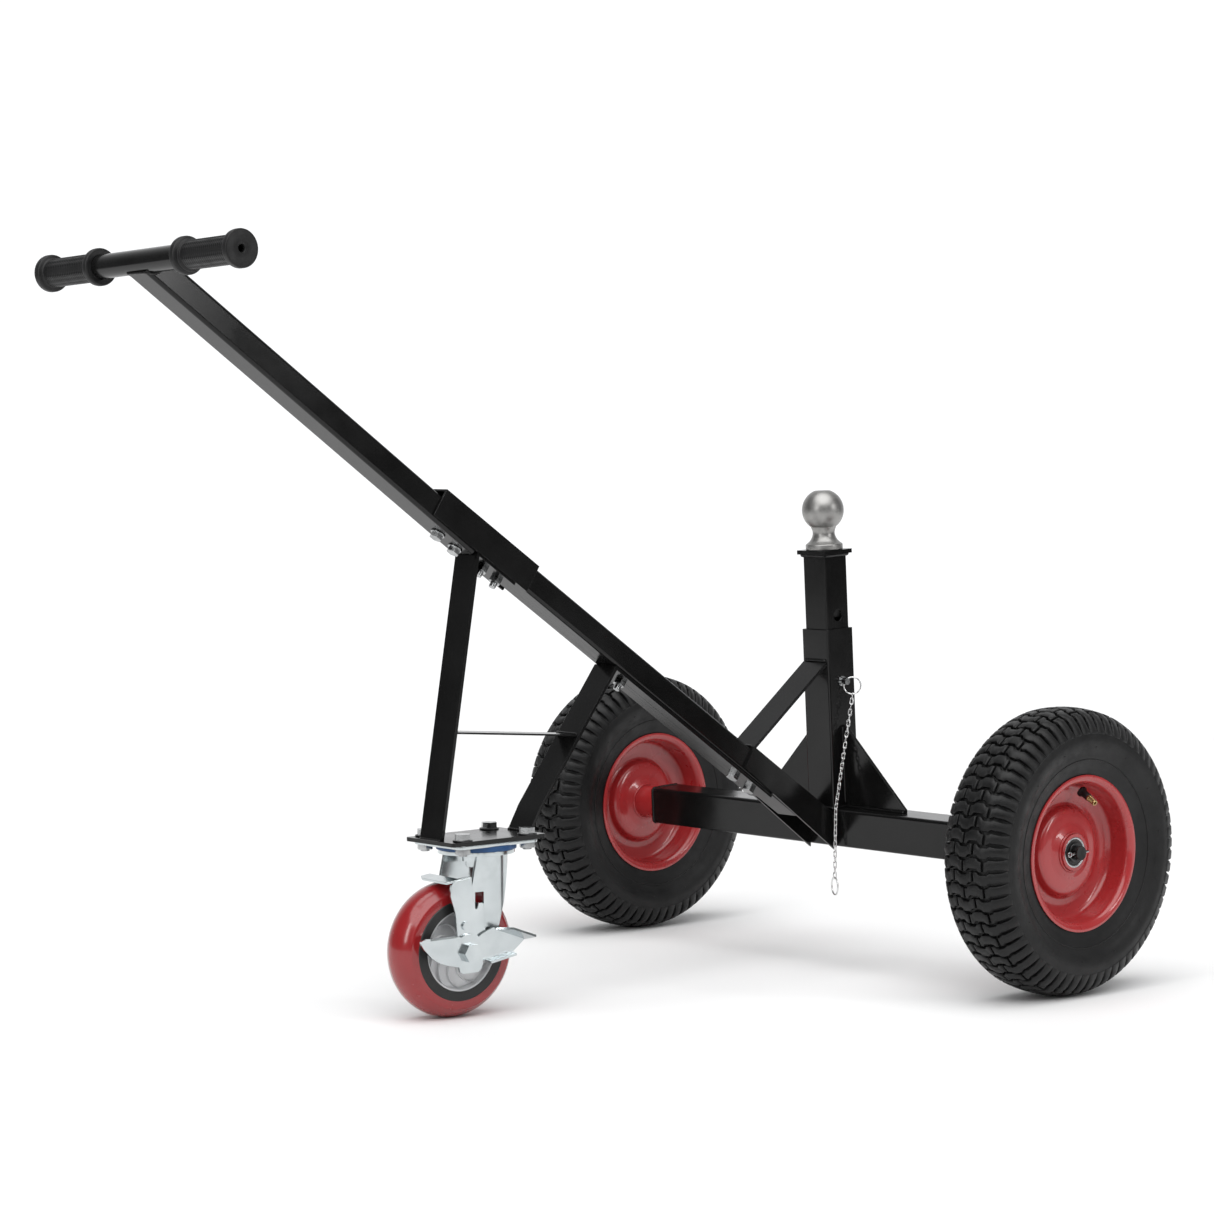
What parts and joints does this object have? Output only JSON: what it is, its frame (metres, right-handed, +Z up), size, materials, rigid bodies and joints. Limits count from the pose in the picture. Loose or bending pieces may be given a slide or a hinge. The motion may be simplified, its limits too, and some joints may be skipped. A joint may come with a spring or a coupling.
{
  "type": "trailer dolly",
  "caption": "Hand-pulled trailer dolly with pneumatic wheels on an axle beam, a telescoping hitch-ball post, a bolted T-handle and a braked swivel caster.",
  "frame": {"origin": "on the ground at the middle of the whole dolly's outline, seen from above", "axes": "+Z up; +X from the T-handle towards the axle and hitch ball; +Y along the axle"},
  "size_m": [1.1787, 0.8182, 0.8494],
  "materials": {
    "black_powder": "satin black powder coat with fine orange peel",
    "tyre_rubber": "matte black rubber with a blocky turf tread",
    "grip_rubber": "matte black moulded rubber, finely textured",
    "red_enamel": "gloss red enamel",
    "bearing_steel": "ground steel race with a black seal",
    "valve_brass": "plain brass on a black rubber foot",
    "ball_steel": "turned and brushed steel",
    "blue_seal": "blue plastic",
    "red_tread": "glossy red cast tread",
    "black_core": "black plastic core",
    "grey_hub": "pale grey moulding with curved ribs",
    "plain_steel": "bare steel",
    "chain_steel": "bright plated wire",
    "zinc_sheet": "bright zinc plate over pressed sheet",
    "zinc_fastener": "zinc plated fasteners"
  },
  "bodies": {
    "frame": {"axle_beam": "black_powder", "beam_end_caps": "black_powder", "axle_shaft": "plain_steel", "axle_spacers": "zinc_fastener", "axle_washers": "zinc_fastener", "cotter_pins": "zinc_fastener", "post_sleeve": "black_powder", "post_gussets": "black_powder", "inner_post": "black_powder", "ball_plate": "black_powder", "hitch_ball": "ball_steel", "ball_nut": "zinc_fastener", "handle_socket": "black_powder", "brace_strap": "black_powder", "lower_handle": "black_powder", "splice_channel": "black_powder", "splice_weld_nuts": "zinc_fastener", "upper_handle": "black_powder", "splice_bolts": "zinc_fastener", "splice_washers": "zinc_fastener", "flange_screws": "zinc_fastener", "flange_nuts": "zinc_fastener", "socket_bolts": "zinc_fastener", "socket_nuts": "zinc_fastener", "t_bar": "black_powder", "grip_near": "grip_rubber", "grip_far": "grip_rubber", "front_strut": "black_powder", "rear_strut": "black_powder", "strut_tie": "black_powder", "bracket_plate": "black_powder", "caster_plate": "zinc_sheet", "plate_bolts": "zinc_fastener", "plate_washers": "zinc_fastener", "plate_nuts": "zinc_fastener", "race_ring": "blue_seal", "kingpin": "zinc_sheet"},
    "near_wheel": {"near_tyre": "tyre_rubber", "near_rim": "red_enamel", "near_hub": "red_enamel", "near_bearings": "bearing_steel", "near_valve": "valve_brass"},
    "far_wheel": {"far_tyre": "tyre_rubber", "far_rim": "red_enamel", "far_hub": "red_enamel", "far_bearings": "bearing_steel", "far_valve": "valve_brass"},
    "caster_yoke": {"caster_fork": "zinc_sheet", "caster_axle": "zinc_sheet", "caster_axle_nut": "zinc_sheet", "swivel_balls": "plain_steel"},
    "caster_wheel": {"caster_tread": "red_tread", "caster_core": "black_core", "caster_hub": "grey_hub"},
    "brake_shoe": {"brake_arm": "zinc_sheet", "brake_rivet": "zinc_sheet"},
    "pedal": {"brake_pedal": "zinc_sheet"},
    "pin": {"lock_pin": "zinc_fastener", "pin_ring": "chain_steel"},
    "chain": {"lock_chain": "chain_steel"}
  },
  "joints": [
    {"name": "near_wheel_spin", "type": "hinge", "parent": "frame", "child": "near_wheel", "pos_m": [0.4243, 0, 0.1651], "axis": [0, 1, 0], "continuous": true},
    {"name": "far_wheel_spin", "type": "hinge", "parent": "frame", "child": "far_wheel", "pos_m": [0.4243, 0, 0.1651], "axis": [0, 1, 0], "continuous": true},
    {"name": "caster_swivel", "type": "hinge", "parent": "frame", "child": "caster_yoke", "pos_m": [-0.1397, 0, 0.1], "axis": [0, 0, 1], "continuous": true},
    {"name": "caster_spin", "type": "hinge", "parent": "caster_yoke", "child": "caster_wheel", "pos_m": [-0.17656, 0.00323, 0.0762], "axis": [0.0872, 0.9962, 0], "continuous": true},
    {"name": "brake_pedal_press", "type": "hinge", "parent": "caster_yoke", "child": "pedal", "pos_m": [-0.17656, 0.00323, 0.0762], "axis": [0.0872, 0.9962, 0], "range_deg": [0, 20]},
    {"name": "brake_shoe_drop", "type": "slide", "parent": "caster_yoke", "child": "brake_shoe", "axis": [0, 0, -1], "range_m": [0, 0.0032]},
    {"name": "lock_pin_pull", "type": "slide", "parent": "frame", "child": "pin", "axis": [0, -1, 0], "range_m": [0, 0.07]},
    {"name": "chain_swing", "type": "hinge", "parent": "pin", "child": "chain", "pos_m": [0.42292, -0.03277, 0.32622], "axis": [-0.7538, 0.6561, -0.0369], "range_deg": [0, 60]}
  ],
  "couplings": [
    {"joint": "brake_shoe_drop", "follows": "brake_pedal_press", "m_per_rad": 0.009}
  ]
}
